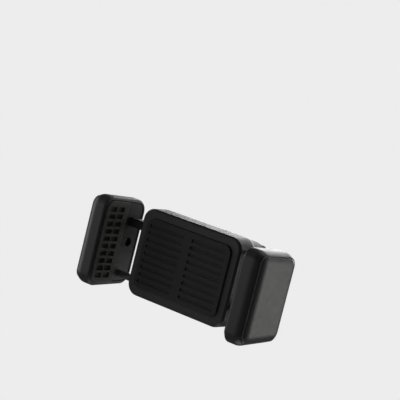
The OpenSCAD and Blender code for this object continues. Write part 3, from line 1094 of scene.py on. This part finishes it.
@dataclass
class BallJoint:
    """Ball stud, slit liner and the fluted collar nut that clamps them."""

    shop: Workshop
    centre_y: float = -22.0
    ball_r: float = 8.0
    neck_r: float = 3.0
    flange_r: float = 5.4
    spindle_r: float = 4.0
    neck_end: float = -12.5
    flange_y: float = -9.1
    screw_r: float = 0.9
    screw_depth: float = 5.0
    seat_r: float = 10.2
    bore_r: float = 12.5
    skirt: float = 1.0
    cone_in: float = 2.6
    cone_bow: float = 1.25
    flutes: int = 14
    flute_depth: float = 0.9
    flute_reach: float = 2.0
    flute_start: float = 0.9
    flute_fade: float = 1.6
    steps_per_flute: int = 24

    def build(self) -> None:
        """Builds the joint."""
        self._stud()
        self._liner()
        self._nut()
        self.shop.dress("retainer_washer", "screw_steel")
        self.shop.dress("retainer_screw", "screw_steel")

    def _stud(self) -> None:
        """Ball, waisted neck, flange and spindle in one turned piece."""
        end = corners_of("ball_stud")[1].y
        leave = math.asin(self.neck_r / self.ball_r)
        ball = arc(self.ball_r, (0.0, self.centre_y), math.pi, leave, 30)[:-1]
        ball[0] = (0.0, self.centre_y - self.ball_r)
        top = self.centre_y + self.ball_r * math.cos(leave)
        neck, flange, spindle = self.neck_r, self.flange_r, self.spindle_r
        profile = ball + [
            (neck + 0.25, top - 0.15), (neck + 0.02, top + 0.3), (neck, top + 0.7),
            (neck, self.neck_end), (neck + 0.2, self.neck_end + 0.4),
            (flange - 0.5, self.neck_end + 1.75), (flange - 0.1, self.neck_end + 2.2),
            (flange, self.neck_end + 2.6), (flange, self.flange_y - 0.2),
            (flange - 0.2, self.flange_y), (spindle, self.flange_y),
            (spindle, end - 0.3), (spindle - 0.3, end), (self.screw_r, end),
            (self.screw_r, end - self.screw_depth), (0.0, end - self.screw_depth),
        ]
        blank = Blank()
        blank.turned(profile, 72)
        self.shop.place(blank, "ball_and_stud", "stud", "stud_metal", ["ball_stud"], crease=40)

    def _liner(self) -> None:
        """The nylon liner between ball and socket."""
        blank = Blank.copied("socket_liner")
        self.shop.place(blank, "slit_liner", "liner", "nylon", ["socket_liner"])

    def _nut(self) -> None:
        """The collar nut: a turned ring whose outside is pressed in between its grips."""
        low, high = corners_of("collar_nut")
        radius = high.x
        top = math.acos((high.y - self.centre_y) / self.seat_r)
        lip_r = self.seat_r * math.sin(top)
        seat = arc(self.seat_r, (0.0, self.centre_y), top, math.pi / 2, 10)[2:]
        wall_start, wall_end = low.y + 0.8, self.centre_y + self.skirt
        wall_steps, cone_steps = 16, 8
        wall = [
            (radius, wall_start + i * (wall_end - wall_start) / wall_steps)
            for i in range(wall_steps + 1)
        ]
        cone = [
            (radius - self.cone_in * share**self.cone_bow,
             wall_end + (high.y - 0.3 - wall_end) * share)
            for share in (i / cone_steps for i in range(1, cone_steps + 1))
        ]
        start = [
            (self.bore_r, low.y + 0.2), (self.bore_r + 0.2, low.y), (radius - 0.8, low.y),
            (radius - 0.5, low.y + 0.08), (radius - 0.15, low.y + 0.35),
        ]
        lip = [
            (radius - self.cone_in - 0.3, high.y), (lip_r + 0.3, high.y), (lip_r, high.y - 0.25),
        ]
        profile = start + wall + cone + lip + seat + [(self.bore_r, self.centre_y + 0.15)]
        blank = Blank()
        blank.turned(profile, self.flutes * self.steps_per_flute, closed=True)
        self._press_flutes(blank, low.y, radius)
        self.shop.place(blank, "fluted_nut", "collar", "nut_plastic", ["collar_nut"], crease=40)

    def _press_flutes(self, blank: Blank, start: float, radius: float) -> None:
        """Presses the grip flutes into the nut's outside.

        Args:
            blank: the turned nut.
            start: the nut's front end, above which the flutes begin softly.
            radius: its outer radius.
        """
        pitch = 2 * math.pi / self.flutes
        outside = radius - self.cone_in - 0.6
        for vert in blank.bm.verts:
            reach = math.hypot(vert.co.x, vert.co.z)
            if reach < outside:
                continue
            along = (vert.co.y - start - self.flute_start) / self.flute_fade
            along = min(1.0, max(0.0, along))
            rise = along * along * (3 - 2 * along)
            angle = math.remainder(math.atan2(vert.co.z, vert.co.x), pitch)
            across = min(1.0, abs(angle) * radius / self.flute_reach)
            hollow = math.cos(across * math.pi) * 0.5 + 0.5
            share = (reach - self.flute_depth * rise * hollow) / reach
            vert.co.x *= share
            vert.co.z *= share


# --- Vent clip ---------------------------------------------------------------------------


@dataclass
class VentClip:
    """The hub, the base disc with its four prongs, their ribbed sleeves and two screws."""

    shop: Workshop
    bore_r: float = 4.05
    pocket_r: float = 7.0
    pocket_y: float = -5.2
    shoulder_r: float = 2.6
    ring_r: float = 7.9
    ring_half: float = 0.3
    ring_depth: float = 0.25
    sleeve_width: float = 6.4
    sleeve_height: float = 7.2
    corner_r: float = 1.6
    tip_r: float = 1.3
    ridge_first: float = 2.2
    ridge_last: float = 1.0
    ridge_pitch: float = 1.5
    ridge_share: float = 0.28
    ridge_depth: float = 0.55
    screw_z: float = 9.0

    def build(self) -> None:
        """Builds the clip."""
        self._hub()
        self._base()
        self._sleeves()
        self._screws()

    def _hub(self) -> None:
        """The turned body that carries the spindle."""
        low, high = corners_of("clip_hub")
        radius, front, back = high.x, low.y, high.y
        floor_half = self.ring_half - 0.1
        corner = (radius - self.shoulder_r, front + self.shoulder_r)
        profile = [
            (self.bore_r, front + 0.25), (self.bore_r + 0.25, front),
            (self.ring_r - self.ring_half, front),
            (self.ring_r - floor_half, front + self.ring_depth),
            (self.ring_r + floor_half, front + self.ring_depth),
            (self.ring_r + self.ring_half, front),
            *arc(self.shoulder_r, corner, math.pi, math.pi / 2, 8),
            (radius, back - 0.5), (radius - 0.15, back - 0.15), (radius - 0.5, back),
            (self.pocket_r, back), (self.pocket_r, self.pocket_y), (self.bore_r, self.pocket_y),
        ]
        blank = Blank()
        blank.turned(profile, 96, closed=True)
        self.shop.place(blank, "clip_body", "clip", "moulded_plastic", ["clip_hub"], crease=40)

    def _base(self) -> None:
        """The base disc and the prong cores."""
        blank = Blank.copied("prong_frame")
        self.shop.place(blank, "prong_base", "clip", "frame_plastic", ["prong_frame"])

    def _sleeves(self) -> None:
        """Four rubber sleeves with ridges across them."""
        low, high = corners_of("prong_sleeves")
        size = Vector((self.sleeve_width, high.y - low.y, self.sleeve_height))
        whole = Blank()
        for x in (low.x, high.x - size.x):
            for z in (low.z, high.z - size.z):
                start = Vector((x, low.y, z))
                one = self._sleeve(start, start + size)
                whole.join(one)
                one.bm.free()
        self.shop.place(
            whole, "ribbed_sleeves", "clip", "black_rubber", ["prong_sleeves"], crease=50
        )

    def _sleeve(self, low: Vector, high: Vector) -> Blank:
        """One sleeve.

        Args:
            low: its lowest corner.
            high: its highest corner.

        Returns:
            The blank.
        """
        blank = Blank()
        blank.block(low, high)
        blank.bevel(blank.edges_where(lambda e: spans(e, Axis.Y, 1.0)), self.corner_r, 6)
        blank.bevel(blank.edges_where(lambda e: in_plane(e, Axis.Y, high.y)), self.tip_r, 5)
        centre = (low + high) / 2
        first, last = low.y + self.ridge_first, high.y - self.tip_r - self.ridge_last
        count = int((last - first) / self.ridge_pitch) + 1
        middles = [first + i * self.ridge_pitch for i in range(count)]
        half = self.ridge_pitch * self.ridge_share
        blank.slice(Axis.Y, [m + s * half for m in middles for s in (-1, 0, 1)])
        for vert in blank.bm.verts:
            if among(vert.co.y, middles):
                for axis in (Axis.X, Axis.Z):
                    inwards = math.copysign(self.ridge_depth, centre[axis] - vert.co[axis])
                    vert.co[axis] += inwards
        return blank

    def _screws(self) -> None:
        """The two screws that hold the base disc to the hub."""
        low, high = corners_of("clip_screws")
        spots = [Matrix.Translation((0.0, high.y, side * self.screw_z)) for side in (-1, 1)]
        head = 1.0
        screw = CrossScrew(thickness=head, length=high.y - low.y - head)
        self.shop.place(screw.set_of(spots), "base_screws", "clip", "screw_steel", ["clip_screws"])


# --- Studio ------------------------------------------------------------------------------


@dataclass
class Softbox:
    """One soft light."""

    name: str
    place: tuple[float, float, float]
    size: tuple[float, float]
    power: float
    aim: tuple[float, float, float] = (0.0, -0.045, 0.0)
    colour: Colour = (1.0, 1.0, 1.0)

    def build(self) -> None:
        """Hangs the light."""
        data = bpy.data.lights.new(self.name, "AREA")
        data.shape = "RECTANGLE"
        data.size, data.size_y = self.size
        data.energy = self.power
        data.color = self.colour
        lamp = bpy.data.objects.new(self.name, data)
        lamp.location = self.place
        toward = Vector(self.aim) - Vector(self.place)
        lamp.rotation_euler = toward.to_track_quat("-Z", "Y").to_euler()
        bpy.context.scene.collection.objects.link(lamp)


@dataclass
class Studio:
    """Floor, surroundings, lights and camera. Its lengths are in metres, its angles in degrees."""

    azimuth: float = 35.17
    elevation: float = 7.19
    roll: float = 14.07
    lens: float = 126.27
    sensor: float = 36.0
    eye: tuple[float, float, float] = (0.31261, -0.48901, 0.09578)
    floor_z: float = -0.16
    pale: float = 0.846
    reach: float = 3.0
    air: float = 0.035
    lights: tuple[Softbox, ...] = (
        Softbox("key", (0.65, 0.62, 0.0), (0.7, 0.7), 2.9, colour=(1.0, 0.99, 0.96)),
        Softbox("top", (0.05, 0.3, 0.75), (0.6, 0.4), 0.9),
        Softbox("left", (-0.8, -0.2, 0.05), (0.5, 0.6), 1.6),
        Softbox("back", (-0.25, 0.85, 0.25), (0.7, 0.5), 5.5),
        Softbox("front", (-0.35, -0.85, 0.05), (0.7, 0.6), 0.85),
        Softbox("under", (0.15, 0.0, -0.6), (0.5, 0.4), 1.0),
    )

    def build(self) -> None:
        """Sets the whole studio up."""
        scene = bpy.context.scene
        scene.view_settings.view_transform = "Standard"
        scene.view_settings.look = "None"
        self._world()
        self._floor()
        for light in self.lights:
            light.build()
        self._camera()

    def _world(self) -> None:
        """An even, dim surround."""
        world = bpy.data.worlds.new("studio_air")
        world.use_nodes = True
        back = world.node_tree.nodes["Background"]
        back.inputs["Color"].default_value = (1.0, 1.0, 1.0, 1.0)
        back.inputs["Strength"].default_value = self.air
        bpy.context.scene.world = world

    def _floor(self) -> None:
        """A wide pale floor and the pale surround behind it."""
        floor = bmesh.new()
        bmesh.ops.create_circle(
            floor, cap_ends=True, radius=self.reach, segments=96,
            matrix=Matrix.Translation((0, 0, self.floor_z)),
        )
        dome = bmesh.new()
        bmesh.ops.create_icosphere(dome, subdivisions=4, radius=self.reach)
        bmesh.ops.reverse_faces(dome, faces=dome.faces[:])
        for shape, name in ((floor, "floor"), (dome, "backdrop")):
            mesh = bpy.data.meshes.new(name)
            shape.to_mesh(mesh)
            shape.free()
            mesh.shade_smooth()
            mesh.materials.append(self._paper(name))
            sheet = bpy.data.objects.new(name, mesh)
            bpy.context.scene.collection.objects.link(sheet)
            sheet.visible_diffuse = False
            sheet.visible_glossy = False
            sheet.visible_shadow = False

    def _paper(self, name: str) -> bpy.types.Material:
        """Pale paper that glows evenly and takes no shadow.

        Args:
            name: the material's name.

        Returns:
            The material.
        """
        return Shader(f"{name}_paper").finished({
            "Base Color": (0.0, 0.0, 0.0, 1.0),
            "Roughness": 0.95,
            "Specular IOR Level": 0.0,
            "Emission Color": (1.0, 1.0, 1.0, 1.0),
            "Emission Strength": self.pale,
        })

    def _camera(self) -> None:
        """The camera, turned by azimuth, elevation and roll."""
        az, el, roll = (math.radians(a) for a in (self.azimuth, self.elevation, self.roll))
        ahead = Vector((-math.sin(az) * math.cos(el), math.cos(az) * math.cos(el), -math.sin(el)))
        level = Vector((math.cos(az), math.sin(az), 0.0))
        above = level.cross(ahead)
        right = level * math.cos(roll) + above * math.sin(roll)
        up = above * math.cos(roll) - level * math.sin(roll)
        data = bpy.data.cameras.new("camera")
        data.lens = self.lens
        data.sensor_width = self.sensor
        data.clip_start, data.clip_end = 0.01, 100.0
        camera = bpy.data.objects.new("camera", data)
        turned = Matrix((right, up, -ahead)).transposed().to_4x4()
        camera.matrix_world = Matrix.Translation(self.eye) @ turned
        bpy.context.scene.collection.objects.link(camera)
        bpy.context.scene.camera = camera


def main() -> None:
    """Builds the holder and its studio."""
    logging.basicConfig(level=logging.INFO, format="%(message)s")
    shop = Workshop()
    for side in Side:
        Jaw(side, shop).build()
        JawSpring(side, shop).build()
    for assembly in (Cradle(shop), BallJoint(shop), VentClip(shop)):
        assembly.build()
    Studio().build()


if __name__ == "__main__":
    main()
